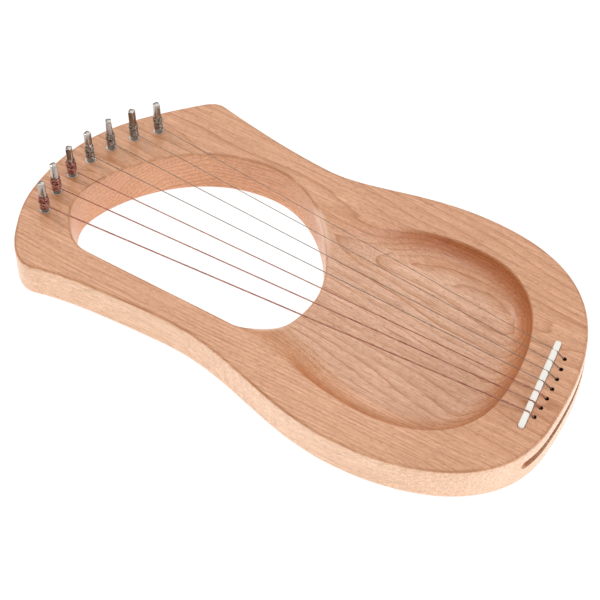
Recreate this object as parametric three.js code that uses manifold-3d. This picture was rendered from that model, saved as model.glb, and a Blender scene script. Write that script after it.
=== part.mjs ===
// Seven-string hand lyre: a carved wooden block with a hand opening, a scooped bowl, an inlaid bridge,
// seven tuning pins and seven strings anchored in a kerf in the end wall.
// Millimetres. Origin at the centre of the underside, +X along the strings from the pins to the bridge,
// +Y towards the treble side, +Z up through the soundboard side.

import * as THREE from 'three';
import { mergeVertices } from 'three/addons/utils/BufferGeometryUtils.js';
import Module from 'manifold-3d';

const wasm = await Module();
wasm.setup();

// ---------------------------------------------------------------- driving dimensions

const THICKNESS = 27.5;
const EDGE_RADIUS = 1.8;
const OPENING_DRAFT = THREE.MathUtils.degToRad(6);
const OPENING_LEAN = { x: 0.07, y: -0.07 };
const CLEARANCE = 0.3;
const OVERSHOOT = 1;

// Outline anchors: x, y, heading in degrees, reach of the curve before and after the anchor.
const BODY_OUTLINE = [
  [189.2, -25, 90, 57, 72],
  [84, 101.5, 180, 82, 54],
  [-35, 81, 178, 34, 32],
  [-123, 91.5, 170, 30, 6],
  [-137, 85, 227, 5, 48],
  [-190, -22, 270, 46, 22],
  [-177, -72, -62, 20, 6],
  [-150, -90.5, 16, 14, 24],
  [-59, -80, 3, 35, 52],
  [78, -101.5, 0, 52, 47],
];

const OPENING_OUTLINE = [
  [12.5, -10, 90, 30, 30],
  [-63, 62.5, 181, 40, 50],
  [-158, -14, 254, 36, 19],
  [-148, -51, -49, 13, 7],
  [-129, -60.5, 0, 7, 29],
  [-18, -59.5, 0, 31, 15],
];

const BOWL_OUTLINE = [
  [153, -16, 90, 40, 50],
  [88, 75, 178, 46, 30],
  [24, 61, 201, 17, 14],
  [-14, 55.5, 180, 16, 28],
  [-62, 2, 270, 30, 30],
  [-8, -61, 0, 30, 24],
  [82, -74, 0, 34, 40],
];
const BOWL = { depth: 16, wall: 21, slope: THREE.MathUtils.degToRad(2.6), hingeX: 153, segments: 5 };
const BOWL_GENTLE = { full: 15, none: 65, widening: 9.5 };

const STRING_DIAMETERS = [0.95, 0.85, 0.75, 0.55, 0.5, 0.45, 0.4];
const WOUND_STRINGS = 3;
const STRING_SIDES = 6;

// Tuning pins stand on an arc that runs inside the pin end, leaning away from the pull of the strings.
const PIN_ROW = { centre: [-67.8, -20.9], radius: 106.5, firstAngle: 194.2, pitch: -9.23 };
const PIN = { radius: 2.5, above: 25.5, below: 18, tip: 2, sides: 16, lean: THREE.MathUtils.degToRad(-1.5) };
const PIN_HEAD = { from: 14.6, flatBelow: 2.05, flatAbove: 1.8, chamfer: 0.5 };
const PIN_EYE = { height: 12.4, radius: 0.7 };
const PIN_TURNS = [8, -22, 28, -8, 38, 14, -30];
const WINDING = { from: 3.6, to: 8.6, scallops: 4, sides: 14 };
const STRING_ABOVE_PIN_BASE = 9.4;

const BRIDGE = { centre: [168, 2], length: 71, width: 4.2, proud: 2, seat: 3, round: 0.7 };
BRIDGE.tilt = THREE.MathUtils.degToRad(9.2);
const GROOVE = { depth: 0.7, firstY: -20.6, pitch: 8.3 };

// String holes lie on a shallow arc behind the bridge and come out in the kerf in the end wall.
const HOLE_ROW = { centre: [10, -15], radius: 167, firstY: -20.8, pitch: 8.05, holeRadius: 1.4 };
const KERF = { centre: [304, 24], radius: 140, rim: 3, floor: 11, roof: 18, sides: 96 };
const BALL_END = { radius: 1.8, eye: 0.7, length: 3.6, sides: 12 };

// ---------------------------------------------------------------- materials

const finish = (colour, roughness, metalness) =>
  new THREE.MeshStandardMaterial({ color: colour, roughness, metalness });

// ---------------------------------------------------------------- solids, joins and cuts

function solidOf(geometry) {
  const bare = geometry.clone();
  bare.deleteAttribute('normal');
  bare.deleteAttribute('uv');
  const merged = mergeVertices(bare, 1e-4);
  return new wasm.Manifold(new wasm.Mesh({
    numProp: 3,
    vertProperties: merged.attributes.position.array,
    triVerts: Uint32Array.from(merged.index.array),
  }));
}

function geometryOf(solid) {
  const mesh = solid.getMesh();
  const geometry = new THREE.BufferGeometry();
  geometry.setAttribute('position', new THREE.BufferAttribute(mesh.vertProperties, 3));
  geometry.setIndex(new THREE.BufferAttribute(mesh.triVerts, 1));
  geometry.computeVertexNormals();
  return geometry;
}

const subtractAll = (solid, cutters) => cutters.reduce((rest, cutter) => rest.subtract(cutter), solid);

// A closed smooth outline through anchors, each with its own heading and reach.
function smoothShape(anchors) {
  const shape = new THREE.Shape();
  shape.moveTo(anchors[0][0], anchors[0][1]);
  anchors.forEach(([x, y, heading, , reach], index) => {
    const [endX, endY, endHeading, endReach] = anchors[(index + 1) % anchors.length];
    const out = THREE.MathUtils.degToRad(heading);
    const back = THREE.MathUtils.degToRad(endHeading);
    shape.bezierCurveTo(
      x + reach * Math.cos(out), y + reach * Math.sin(out),
      endX - endReach * Math.cos(back), endY - endReach * Math.sin(back),
      endX, endY,
    );
  });
  return shape;
}

// An upright round rod between two heights.
function rod(radius, low, high, sides) {
  return new THREE.CylinderGeometry(radius, radius, high - low, sides)
    .rotateX(Math.PI / 2)
    .translate(0, 0, (low + high) / 2);
}

// A route that is sampled exactly at its own points, so that straight runs need no steps.
class Route extends THREE.Curve {
  constructor(points) {
    super();
    this.points = points;
  }

  getPoint(t) {
    const place = t * (this.points.length - 1);
    const index = Math.min(Math.floor(place), this.points.length - 2);
    return this.points[index].clone().lerp(this.points[index + 1], place - index);
  }

  getPointAt(t) {
    return this.getPoint(t);
  }

  getTangentAt(t) {
    const last = this.points.length - 1;
    const index = Math.round(t * last);
    const before = this.points[Math.max(index - 1, 0)];
    const here = this.points[index];
    const after = this.points[Math.min(index + 1, last)];
    const arriving = here.clone().sub(before).normalize();
    return arriving.add(after.clone().sub(here).normalize()).normalize();
  }
}

function wireAlong(points, radius) {
  const section = new THREE.Shape();
  for (let side = 0; side < STRING_SIDES; side += 1) {
    const angle = (side / STRING_SIDES) * 2 * Math.PI;
    section.lineTo(radius * Math.cos(angle), radius * Math.sin(angle));
  }
  return new THREE.ExtrudeGeometry(section, {
    steps: points.length - 1,
    extrudePath: new Route(points),
    bevelEnabled: false,
  });
}

// ---------------------------------------------------------------- where the strings run

function pinBase(index) {
  const angle = THREE.MathUtils.degToRad(PIN_ROW.firstAngle + index * PIN_ROW.pitch);
  return new THREE.Vector3(
    PIN_ROW.centre[0] + PIN_ROW.radius * Math.cos(angle),
    PIN_ROW.centre[1] + PIN_ROW.radius * Math.sin(angle),
    THICKNESS,
  );
}

function stringHole(index) {
  const y = HOLE_ROW.firstY + index * HOLE_ROW.pitch;
  const rise = y - HOLE_ROW.centre[1];
  return new THREE.Vector3(HOLE_ROW.centre[0] + Math.sqrt(HOLE_ROW.radius ** 2 - rise ** 2), y, THICKNESS);
}

function bridgeCrossing(index) {
  const y = GROOVE.firstY + index * GROOVE.pitch;
  const x = BRIDGE.centre[0] - (y - BRIDGE.centre[1]) * Math.tan(BRIDGE.tilt);
  return new THREE.Vector3(x, y, THICKNESS + BRIDGE.proud - GROOVE.depth);
}

// The point where a string leaves its pin, on the side that faces the bass edge.
function pinTangent(index, radius) {
  const leanShift = Math.tan(PIN.lean) * STRING_ABOVE_PIN_BASE;
  const offset = new THREE.Vector3(leanShift, -(PIN.radius + CLEARANCE + radius), STRING_ABOVE_PIN_BASE);
  return pinBase(index).add(offset);
}

// ---------------------------------------------------------------- body

function bodyBlock() {
  const block = new THREE.ExtrudeGeometry(smoothShape(BODY_OUTLINE), {
    depth: THICKNESS - 2 * EDGE_RADIUS,
    curveSegments: 8,
    bevelThickness: EDGE_RADIUS,
    bevelSize: EDGE_RADIUS,
    bevelOffset: -EDGE_RADIUS,
    bevelSegments: 2,
  });
  return solidOf(block.translate(0, 0, EDGE_RADIUS));
}

// The hand opening narrows towards the underside, more on the side of the pins.
function openingCutter() {
  const reach = THICKNESS + OVERSHOOT;
  const narrowing = reach * Math.tan(OPENING_DRAFT);
  const cutter = new THREE.ExtrudeGeometry(smoothShape(OPENING_OUTLINE), {
    depth: OVERSHOOT,
    curveSegments: 9,
    bevelThickness: reach,
    bevelSize: narrowing,
    bevelOffset: -narrowing,
    bevelSegments: 1,
  });
  const lean = new THREE.Matrix4().makeShear(0, 0, 0, 0, -OPENING_LEAN.x, -OPENING_LEAN.y);
  return solidOf(cutter.applyMatrix4(lean).translate(0, 0, THICKNESS));
}

// How far the bowl's rounded wall has turned into a long gentle one, from 0 to 1 towards the opening.
function gentleShare(x) {
  return THREE.MathUtils.smoothstep(-x, -BOWL_GENTLE.none, -BOWL_GENTLE.full);
}

// The bowl has rounded walls and a floor that rises towards the hand opening, where the wall runs out gently.
function bowlCutter() {
  const cutter = new THREE.ExtrudeGeometry(smoothShape(BOWL_OUTLINE), {
    depth: OVERSHOOT,
    curveSegments: 7,
    bevelThickness: BOWL.depth,
    bevelSize: BOWL.wall,
    bevelOffset: -BOWL.wall,
    bevelSegments: BOWL.segments,
  });
  const place = cutter.attributes.position;
  for (let index = 0; index < place.count; index += 1) {
    const steep = Math.min(1, -place.getZ(index) / BOWL.depth);
    if (steep > 0) {
      const share = (1 - Math.sqrt(1 - steep ** 2)) * (BOWL.wall / (BOWL.wall + BOWL_GENTLE.widening));
      const gentle = Math.max(THREE.MathUtils.smoothstep(share, 0, 1) ** 0.75, steep === 1 ? 1 : 0);
      place.setZ(index, -BOWL.depth * THREE.MathUtils.lerp(steep, gentle, gentleShare(place.getX(index))));
    }
  }
  cutter.translate(-BOWL.hingeX, 0, 0).rotateY(BOWL.slope).translate(BOWL.hingeX, 0, THICKNESS);
  return solidOf(cutter);
}

// A saw blade's plunge into the end wall leaves a kerf that follows the blade's round rim.
function kerfCutter() {
  const { centre, radius, rim, floor, roof, sides } = KERF;
  const profile = [
    [0, floor],
    [radius - rim, floor],
    [radius, (floor + roof) / 2],
    [radius - rim, roof],
    [0, roof],
  ].map(([x, y]) => new THREE.Vector2(x, y));
  const blade = new THREE.LatheGeometry(profile, sides).rotateX(Math.PI / 2);
  return solidOf(blade.translate(centre[0], centre[1], 0));
}

function pinHoleCutter(index) {
  const base = pinBase(index);
  const hole = rod(PIN.radius + CLEARANCE, -(PIN.below + CLEARANCE), OVERSHOOT, PIN.sides);
  return solidOf(hole.rotateY(PIN.lean).translate(base.x, base.y, base.z));
}

function stringHoleCutter(index) {
  const place = stringHole(index);
  const hole = rod(HOLE_ROW.holeRadius, (KERF.floor + KERF.roof) / 2, THICKNESS + OVERSHOOT, 8);
  return solidOf(hole.translate(place.x, place.y, 0));
}

// ---------------------------------------------------------------- bridge

function barShape(length, width) {
  const straight = (length - width) / 2;
  const shape = new THREE.Shape();
  shape.absarc(0, straight, width / 2, 0, Math.PI, false);
  shape.absarc(0, -straight, width / 2, Math.PI, 2 * Math.PI, false);
  return shape;
}

const placeOnBridge = (geometry, z) =>
  geometry.rotateZ(BRIDGE.tilt).translate(BRIDGE.centre[0], BRIDGE.centre[1], z);

function bridgeSeatCutter() {
  const shape = barShape(BRIDGE.length + 2 * CLEARANCE, BRIDGE.width + 2 * CLEARANCE);
  const cutter = new THREE.ExtrudeGeometry(shape, {
    depth: BRIDGE.seat + OVERSHOOT,
    curveSegments: 6,
    bevelEnabled: false,
  });
  return solidOf(placeOnBridge(cutter, THICKNESS - BRIDGE.seat));
}

function bridgeGeometry() {
  const height = BRIDGE.seat - CLEARANCE + BRIDGE.proud;
  const bar = new THREE.ExtrudeGeometry(barShape(BRIDGE.length, BRIDGE.width), {
    depth: height - 2 * BRIDGE.round,
    curveSegments: 6,
    bevelThickness: BRIDGE.round,
    bevelSize: BRIDGE.round,
    bevelOffset: -BRIDGE.round,
    bevelSegments: 2,
  });
  const blank = solidOf(placeOnBridge(bar, THICKNESS - BRIDGE.seat + CLEARANCE + BRIDGE.round));
  const grooves = STRING_DIAMETERS.map((diameter, index) => {
    const crossing = bridgeCrossing(index);
    const run = crossing.clone().sub(pinTangent(index, diameter / 2));
    const groove = new THREE.BoxGeometry(3 * BRIDGE.width, diameter + 3 * CLEARANCE, 2 * GROOVE.depth);
    groove.rotateZ(Math.atan2(run.y, run.x) / 2);
    return solidOf(groove.translate(crossing.x, crossing.y, crossing.z + GROOVE.depth));
  });
  return geometryOf(subtractAll(blank, grooves));
}

// ---------------------------------------------------------------- tuning pins and their windings

// A round pin with a pointed foot, four tapering flats for the tuning key and an eye for the string.
function pinGeometry() {
  const { radius, above, below, tip, sides } = PIN;
  const profile = [
    [0, -below],
    [radius - 0.9, -below],
    [radius, tip - below],
    [radius, above - PIN_HEAD.chamfer],
    [radius - PIN_HEAD.chamfer, above],
    [0, above],
  ].map(([x, y]) => new THREE.Vector2(x, y));
  const shaft = solidOf(new THREE.LatheGeometry(profile, sides).rotateX(Math.PI / 2));

  const headLength = above - PIN_HEAD.from;
  const taper = Math.atan((PIN_HEAD.flatBelow - PIN_HEAD.flatAbove) / headLength);
  const flats = [0, 1, 2, 3].map((quarter) => {
    const block = new THREE.BoxGeometry(2 * radius, 3 * radius, 2 * headLength);
    block.translate(radius, 0, headLength).rotateY(-taper);
    return solidOf(block.translate(PIN_HEAD.flatBelow, 0, PIN_HEAD.from).rotateZ((quarter * Math.PI) / 2));
  });
  const eye = rod(PIN_EYE.radius, -2 * radius, 2 * radius, 8).rotateX(Math.PI / 2);
  return geometryOf(subtractAll(shaft, [...flats, solidOf(eye.translate(0, 0, PIN_EYE.height))]));
}

// The turns of string on a pin: one ring with a rounded bulge for each pair of turns.
function windingGeometry(diameter) {
  const inner = PIN.radius + CLEARANCE;
  const pitch = (WINDING.to - WINDING.from) / WINDING.scallops;
  const profile = [new THREE.Vector2(inner, WINDING.from)];
  for (let turn = 0; turn < WINDING.scallops; turn += 1) {
    const low = WINDING.from + turn * pitch;
    profile.push(new THREE.Vector2(inner + diameter / 2, low));
    profile.push(new THREE.Vector2(inner + diameter, low + pitch / 2));
  }
  profile.push(new THREE.Vector2(inner + diameter / 2, WINDING.to));
  profile.push(new THREE.Vector2(inner, WINDING.to));
  profile.push(profile[0].clone());
  return new THREE.LatheGeometry(profile, WINDING.sides).rotateX(Math.PI / 2);
}

// ---------------------------------------------------------------- strings and ball ends

// From the ball end up through its hole, over the bridge and on to the pin.
function stringPoints(index) {
  const radius = STRING_DIAMETERS[index] / 2;
  const hole = stringHole(index);
  const crown = bridgeCrossing(index).add(new THREE.Vector3(0, 0, CLEARANCE + radius));
  const end = pinTangent(index, radius);
  const towardsBridge = crown.clone().sub(hole).setZ(0).normalize();
  const lip = hole.clone().addScaledVector(towardsBridge, HOLE_ROW.holeRadius - CLEARANCE - radius);
  const barEdge = BRIDGE.width / 2 + CLEARANCE;
  const along = end.clone().sub(crown).normalize();
  return [
    new THREE.Vector3(hole.x, hole.y, KERF.roof),
    lip.clone().setZ(THICKNESS - 2),
    lip.clone().setZ(THICKNESS + radius / 2),
    crown.clone().addScaledVector(towardsBridge, -barEdge).setZ(crown.z - 0.1),
    crown.clone().addScaledVector(towardsBridge, -barEdge / 2),
    crown.clone().addScaledVector(along, barEdge),
    end,
  ];
}

function ballEndGeometry() {
  const { radius, eye, length, sides } = BALL_END;
  const half = length / 2;
  const profile = [
    [eye, -half],
    [radius - 0.4, -half],
    [radius, 0.4 - half],
    [radius, half - 0.4],
    [radius - 0.4, half],
    [eye, half],
    [eye, -half],
  ].map(([x, y]) => new THREE.Vector2(x, y));
  return new THREE.LatheGeometry(profile, sides);
}

// ---------------------------------------------------------------- assembly

const lyre = new THREE.Group();

function addPiece(parent, name, geometry, material) {
  const piece = new THREE.Mesh(geometry, material);
  piece.name = name;
  parent.add(piece);
  return piece;
}

const indices = STRING_DIAMETERS.map((_, index) => index);

const body = subtractAll(bodyBlock(), [
  openingCutter(),
  bowlCutter(),
  kerfCutter(),
  bridgeSeatCutter(),
  ...indices.map(pinHoleCutter),
  ...indices.map(stringHoleCutter),
]);
addPiece(lyre, 'harp_body', geometryOf(body), finish(0xd2a385, 0.6, 0));
addPiece(lyre, 'bridge_saddle', bridgeGeometry(), finish(0xf6ecd6, 0.4, 0));

for (const index of indices) {
  const number = index + 1;
  const wound = index < WOUND_STRINGS;
  const wireColour = wound ? 0x8c4b36 : 0x8f8d8c;

  const pinGroup = new THREE.Group();
  pinGroup.position.copy(pinBase(index));
  pinGroup.rotation.set(0, PIN.lean, THREE.MathUtils.degToRad(PIN_TURNS[index]));
  lyre.add(pinGroup);
  addPiece(pinGroup, `tuning_pin_${number}`, pinGeometry(), finish(0xb9b2a8, 0.25, 1));
  addPiece(
    pinGroup,
    `string_winding_${number}`,
    windingGeometry(STRING_DIAMETERS[index]),
    finish(wireColour, 0.4, 1),
  );

  addPiece(
    lyre,
    `string_${number}`,
    wireAlong(stringPoints(index), STRING_DIAMETERS[index] / 2),
    finish(wireColour, 0.4, 1),
  );

  const ballEnd = addPiece(lyre, `string_ball_end_${number}`, ballEndGeometry(), finish(0xc8a050, 0.35, 1));
  const hole = stringHole(index);
  ballEnd.position.set(hole.x, hole.y, KERF.roof - CLEARANCE - BALL_END.radius);
}

export default lyre;
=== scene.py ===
"""Looks of a seven-string hand lyre: carved beech body, inlaid bridge, tuning pins, windings and strings.

Lengths are millimetres in the part's frame and become metres as each mesh is made.
"""

import math

import bpy
import numpy as np
from mathutils import Matrix, Vector, geometry


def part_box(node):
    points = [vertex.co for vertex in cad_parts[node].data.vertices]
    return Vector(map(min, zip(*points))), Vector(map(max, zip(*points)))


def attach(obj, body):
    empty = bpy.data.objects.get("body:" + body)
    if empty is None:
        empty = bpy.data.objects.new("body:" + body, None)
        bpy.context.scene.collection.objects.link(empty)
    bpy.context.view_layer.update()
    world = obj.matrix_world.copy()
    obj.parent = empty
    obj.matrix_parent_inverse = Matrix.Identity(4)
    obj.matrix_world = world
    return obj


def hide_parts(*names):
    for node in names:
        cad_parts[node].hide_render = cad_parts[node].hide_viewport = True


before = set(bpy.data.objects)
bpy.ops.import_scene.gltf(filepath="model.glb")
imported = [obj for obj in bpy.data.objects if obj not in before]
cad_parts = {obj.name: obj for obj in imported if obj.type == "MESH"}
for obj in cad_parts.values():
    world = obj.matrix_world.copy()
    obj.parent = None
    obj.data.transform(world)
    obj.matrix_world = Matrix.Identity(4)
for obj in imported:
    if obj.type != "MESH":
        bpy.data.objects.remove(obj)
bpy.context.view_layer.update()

# ---------------------------------------------------------------- driving dimensions

MM = 0.001
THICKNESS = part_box("harp_body")[1].z / MM
EDGE_RADIUS = 1.8

# Outline anchors: x, y, heading in degrees, reach of the curve before and after the anchor.
BODY_OUTLINE = [
    (189.2, -25, 90, 57, 72),
    (84, 101.5, 180, 82, 54),
    (-35, 81, 178, 34, 32),
    (-123, 91.5, 170, 30, 6),
    (-137, 85, 227, 5, 48),
    (-190, -22, 270, 46, 22),
    (-177, -72, -62, 20, 6),
    (-150, -90.5, 16, 14, 24),
    (-59, -80, 3, 35, 52),
    (78, -101.5, 0, 52, 47),
]
OPENING_OUTLINE = [
    (12.5, -10, 90, 30, 30),
    (-63, 62.5, 181, 40, 50),
    (-158, -14, 254, 36, 19),
    (-148, -51, -49, 13, 7),
    (-129, -60.5, 0, 7, 29),
    (-18, -59.5, 0, 31, 15),
]
BOWL_OUTLINE = [
    (153, -16, 90, 40, 50),
    (88, 75, 178, 46, 30),
    (24, 61, 201, 17, 14),
    (-14, 55.5, 180, 16, 28),
    (-62, 2, 270, 30, 30),
    (-8, -61, 0, 30, 24),
    (82, -74, 0, 34, 40),
]
OPENING_DRAFT = math.radians(6)
OPENING_LEAN = np.array([0.07, -0.07])
OPENING_RIM = 1.8
OPENING_RIDGE = 2.2
OPENING_FOOT = 1.6
BOWL_DEPTH = 16.0
BOWL_WALL = 21.0
BOWL_SLOPE = math.tan(math.radians(2.6))
BOWL_HINGE = 153.0
BOWL_RIM = 0.7
BOWL_GENTLE = (15.0, 65.0)
BOWL_WIDENING = 9.5

STRING_DIAMETERS = [0.95, 0.85, 0.75, 0.55, 0.5, 0.45, 0.4]
WOUND_STRINGS = 3
STRING_HEIGHT = 9.4
CLEARANCE = 0.3

PIN_ROW_CENTRE = (-67.8, -20.9)
PIN_ROW_RADIUS = 106.5
PIN_ROW_START = 194.2
PIN_ROW_PITCH = -9.23
PIN_RADIUS = 2.5
PIN_ABOVE = 25.5
PIN_BELOW = 18.0
PIN_LEAN = math.radians(-1.5)
PIN_TURNS = [8, -22, 28, -8, 38, 14, -30]
HEAD_FROM = 14.6
HEAD_FLAT_LOW = 2.05
HEAD_FLAT_HIGH = 1.8
EYE_HEIGHT = 12.4
EYE_RADIUS = 0.7
WINDING_FOOT = 2.6
WINDING_TOP = 13.5
WOUND_WIRE = 0.28
PLAIN_WIRE = 0.2
TURN_GAP = 0.1

BRIDGE_CENTRE = (168.0, 2.0)
BRIDGE_LENGTH = 71.0
BRIDGE_WIDTH = 4.2
BRIDGE_PROUD = 2.0
BRIDGE_SEAT = 3.0
BRIDGE_TILT = math.radians(9.2)
GROOVE_DEPTH = 0.7
GROOVE_START = -20.6
GROOVE_PITCH = 8.3

HOLE_ROW_CENTRE = (10.0, -15.0)
HOLE_ROW_RADIUS = 167.0
HOLE_START = -20.8
HOLE_PITCH = 8.05
HOLE_RADIUS = 1.4
KERF_CENTRE = (304.0, 24.0)
KERF_RADIUS = 140.0
KERF_RIM = 3.0
KERF_FLOOR = 11.0
KERF_ROOF = 18.0
FLOOR_HEIGHT = -0.3
BALL_RADIUS = 1.8
BALL_LENGTH = 3.6

# ---------------------------------------------------------------- loops in plan


def heading_vector(degrees):
    angle = math.radians(degrees)
    return np.array([math.cos(angle), math.sin(angle)])


def evenly_spaced(path, spacing):
    """The closed path, resampled at even steps."""
    closed = np.vstack([path, path[:1]])
    steps = np.linalg.norm(np.diff(closed, axis=0), axis=1)
    along = np.concatenate([[0], np.cumsum(steps)])
    count = int(round(along[-1] / spacing))
    places = np.linspace(0, along[-1], count, endpoint=False)
    return np.column_stack([np.interp(places, along, closed[:, k]) for k in (0, 1)])


def smooth_loop(anchors, spacing):
    """Points on the closed smooth outline through the anchors."""
    t = np.linspace(0, 1, 90, endpoint=False)[:, None]
    spans = []
    for index, (x, y, heading, _, reach) in enumerate(anchors):
        end_x, end_y, end_heading, end_reach, _ = anchors[(index + 1) % len(anchors)]
        start = np.array([x, y])
        end = np.array([end_x, end_y])
        leave = start + reach * heading_vector(heading)
        arrive = end - end_reach * heading_vector(end_heading)
        near = (1 - t) ** 3 * start + 3 * t * (1 - t) ** 2 * leave
        far = 3 * t * t * (1 - t) * arrive + t**3 * end
        spans.append(near + far)
    return evenly_spaced(np.concatenate(spans), spacing)


def outward(loop):
    """Unit normals that point out of a counter-clockwise loop."""
    tangent = np.roll(loop, -1, axis=0) - np.roll(loop, 1, axis=0)
    normal = np.column_stack([tangent[:, 1], -tangent[:, 0]])
    return normal / np.linalg.norm(normal, axis=1)[:, None]


def nearest_on_loop(points, loop):
    """Distance from each point to the closed loop, and the index of the nearest corner."""
    end = np.roll(loop, -1, axis=0)
    run = end - loop
    length_sq = (run**2).sum(axis=1)
    distance = np.empty(len(points))
    index = np.empty(len(points), int)
    for low in range(0, len(points), 1500):
        block = points[low : low + 1500, None, :]
        share = ((block - loop) * run).sum(axis=2) / length_sq
        foot = loop + np.clip(share, 0, 1)[..., None] * run
        gap = np.linalg.norm(block - foot, axis=2)
        index[low : low + 1500] = gap.argmin(axis=1)
        distance[low : low + 1500] = gap.min(axis=1)
    return distance, index


def is_inside(points, loop):
    """True for each point that lies inside the closed loop."""
    result = np.zeros(len(points), bool)
    end = np.roll(loop, -1, axis=0)
    for low in range(0, len(points), 1500):
        x = points[low : low + 1500, None, 0]
        y = points[low : low + 1500, None, 1]
        spans = (loop[:, 1] > y) != (end[:, 1] > y)
        rise = np.where(end[:, 1] == loop[:, 1], 1, end[:, 1] - loop[:, 1])
        cross = loop[:, 0] + (y - loop[:, 1]) * (end[:, 0] - loop[:, 0]) / rise
        result[low : low + 1500] = (spans & (x < cross)).sum(axis=1) % 2 == 1
    return result


def smoothstep(value):
    value = np.clip(value, 0, 1)
    return value * value * (3 - 2 * value)


# ---------------------------------------------------------------- places of the small parts


def pin_base(index):
    angle = math.radians(PIN_ROW_START + index * PIN_ROW_PITCH)
    x = PIN_ROW_CENTRE[0] + PIN_ROW_RADIUS * math.cos(angle)
    y = PIN_ROW_CENTRE[1] + PIN_ROW_RADIUS * math.sin(angle)
    return Vector((x, y, THICKNESS))


def pin_matrix(index):
    """The pin's own frame in millimetres: foot at the soundboard, axis leaning, turned as tuned."""
    turned = Matrix.Rotation(math.radians(PIN_TURNS[index]), 4, "Z")
    return Matrix.Translation(pin_base(index)) @ Matrix.Rotation(PIN_LEAN, 4, "Y") @ turned


def string_hole(index):
    y = HOLE_START + index * HOLE_PITCH
    x = HOLE_ROW_CENTRE[0] + math.sqrt(HOLE_ROW_RADIUS**2 - (y - HOLE_ROW_CENTRE[1]) ** 2)
    return Vector((x, y, THICKNESS))


def bridge_crossing(index):
    y = GROOVE_START + index * GROOVE_PITCH
    x = BRIDGE_CENTRE[0] - (y - BRIDGE_CENTRE[1]) * math.tan(BRIDGE_TILT)
    return Vector((x, y, THICKNESS + BRIDGE_PROUD - GROOVE_DEPTH))


def turn_radius(index):
    """How thick the turns on a pin are drawn."""
    return WOUND_WIRE if index < WOUND_STRINGS else min(STRING_DIAMETERS[index] / 2, PLAIN_WIRE)


def arrival(index):
    """How far from its pin's axis a string lies, just outside the turns."""
    return PIN_RADIUS + 2 * turn_radius(index) + TURN_GAP + STRING_DIAMETERS[index] / 2


def pin_tangent(index):
    """Where a string meets its pin, on the side that faces the bass edge."""
    lean = math.tan(PIN_LEAN) * STRING_HEIGHT
    return pin_base(index) + Vector((lean, -arrival(index), STRING_HEIGHT))


# ---------------------------------------------------------------- mesh helpers


def new_object(name, vertices, faces, along=None):
    """A mesh object from millimetre vertices."""
    mesh = bpy.data.meshes.new(name)
    mesh.from_pydata([tuple(Vector(v) * MM) for v in vertices], [], [tuple(f) for f in faces])
    if along is not None:
        layer = mesh.attributes.new("along", "FLOAT", "POINT")
        layer.data.foreach_set("value", along)
    mesh.validate()
    obj = bpy.data.objects.new(name, mesh)
    bpy.context.scene.collection.objects.link(obj)
    return obj


def face_outwards(obj):
    """Turns every face of a closed mesh outwards."""
    bpy.context.view_layer.objects.active = obj
    obj.select_set(True)
    bpy.ops.object.mode_set(mode="EDIT")
    bpy.ops.mesh.select_all(action="SELECT")
    bpy.ops.mesh.normals_make_consistent(inside=False)
    bpy.ops.object.mode_set(mode="OBJECT")
    obj.select_set(False)


def shade(obj, degrees=35):
    obj.data.shade_smooth()
    obj.data.set_sharp_from_angle(angle=math.radians(degrees))


def cut(obj, cutters):
    """Cuts each cutter out of the object in turn, and removes the cutters."""
    for cutter in cutters:
        modifier = obj.modifiers.new("cut", "BOOLEAN")
        modifier.operation = "DIFFERENCE"
        modifier.solver = "EXACT"
        modifier.object = cutter
    apply_modifiers(obj)
    for cutter in cutters:
        bpy.data.objects.remove(cutter)


def apply_modifiers(obj):
    graph = bpy.context.evaluated_depsgraph_get()
    mesh = bpy.data.meshes.new_from_object(obj.evaluated_get(graph))
    obj.modifiers.clear()
    obj.data = mesh


def lathe(name, profile, sides):
    """A closed body of revolution about Z from a profile of (radius, height)."""
    vertices = []
    faces = []
    rings = []
    for radius, height in profile:
        if radius == 0:
            rings.append([len(vertices)])
            vertices.append((0, 0, height))
            continue
        start = len(vertices)
        for side in range(sides):
            angle = 2 * math.pi * side / sides
            vertices.append((radius * math.cos(angle), radius * math.sin(angle), height))
        rings.append(list(range(start, start + sides)))
    pairs = list(zip(rings, rings[1:]))
    if len(rings[0]) > 1:
        pairs.append((rings[-1], rings[0]))
    for low, high in pairs:
        for side in range(sides):
            after = (side + 1) % sides
            corners = [low[side % len(low)], low[after % len(low)]]
            corners += [high[after % len(high)], high[side % len(high)]]
            faces.append(list(dict.fromkeys(corners)))
    return new_object(name, vertices, faces)


def stack(name, outline, levels):
    """A closed body from one outline, inset by a different amount at each height."""
    normal = outward(outline)
    count = len(outline)
    vertices = []
    faces = []
    for inset, height in levels:
        ring = outline - normal * inset
        vertices += [(x, y, height) for x, y in ring]
    for level in range(len(levels) - 1):
        for side in range(count):
            after = (side + 1) % count
            low = level * count
            faces.append((low + side, low + after, low + count + after, low + count + side))
    faces.append(range(count - 1, -1, -1))
    faces.append(range(len(vertices) - count, len(vertices)))
    return new_object(name, vertices, faces)


def place(obj, matrix):
    """Moves the mesh's own points by a matrix given in millimetres."""
    scaled = matrix.copy()
    scaled.translation = matrix.translation * MM
    obj.data.transform(scaled)
    return obj


def rounded_path(points, reach):
    """The route with each corner eased over a short reach."""
    points = [Vector(p) for p in points]
    path = [points[0]]
    for before, corner, after in zip(points, points[1:], points[2:]):
        back = before - corner
        on = after - corner
        start = corner + back.normalized() * min(reach, back.length * 0.45)
        end = corner + on.normalized() * min(reach, on.length * 0.45)
        for share in (0, 0.2, 0.4, 0.6, 0.8, 1):
            path.append((1 - share) ** 2 * start + 2 * share * (1 - share) * corner + share**2 * end)
    path.append(points[-1])
    return path


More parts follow.
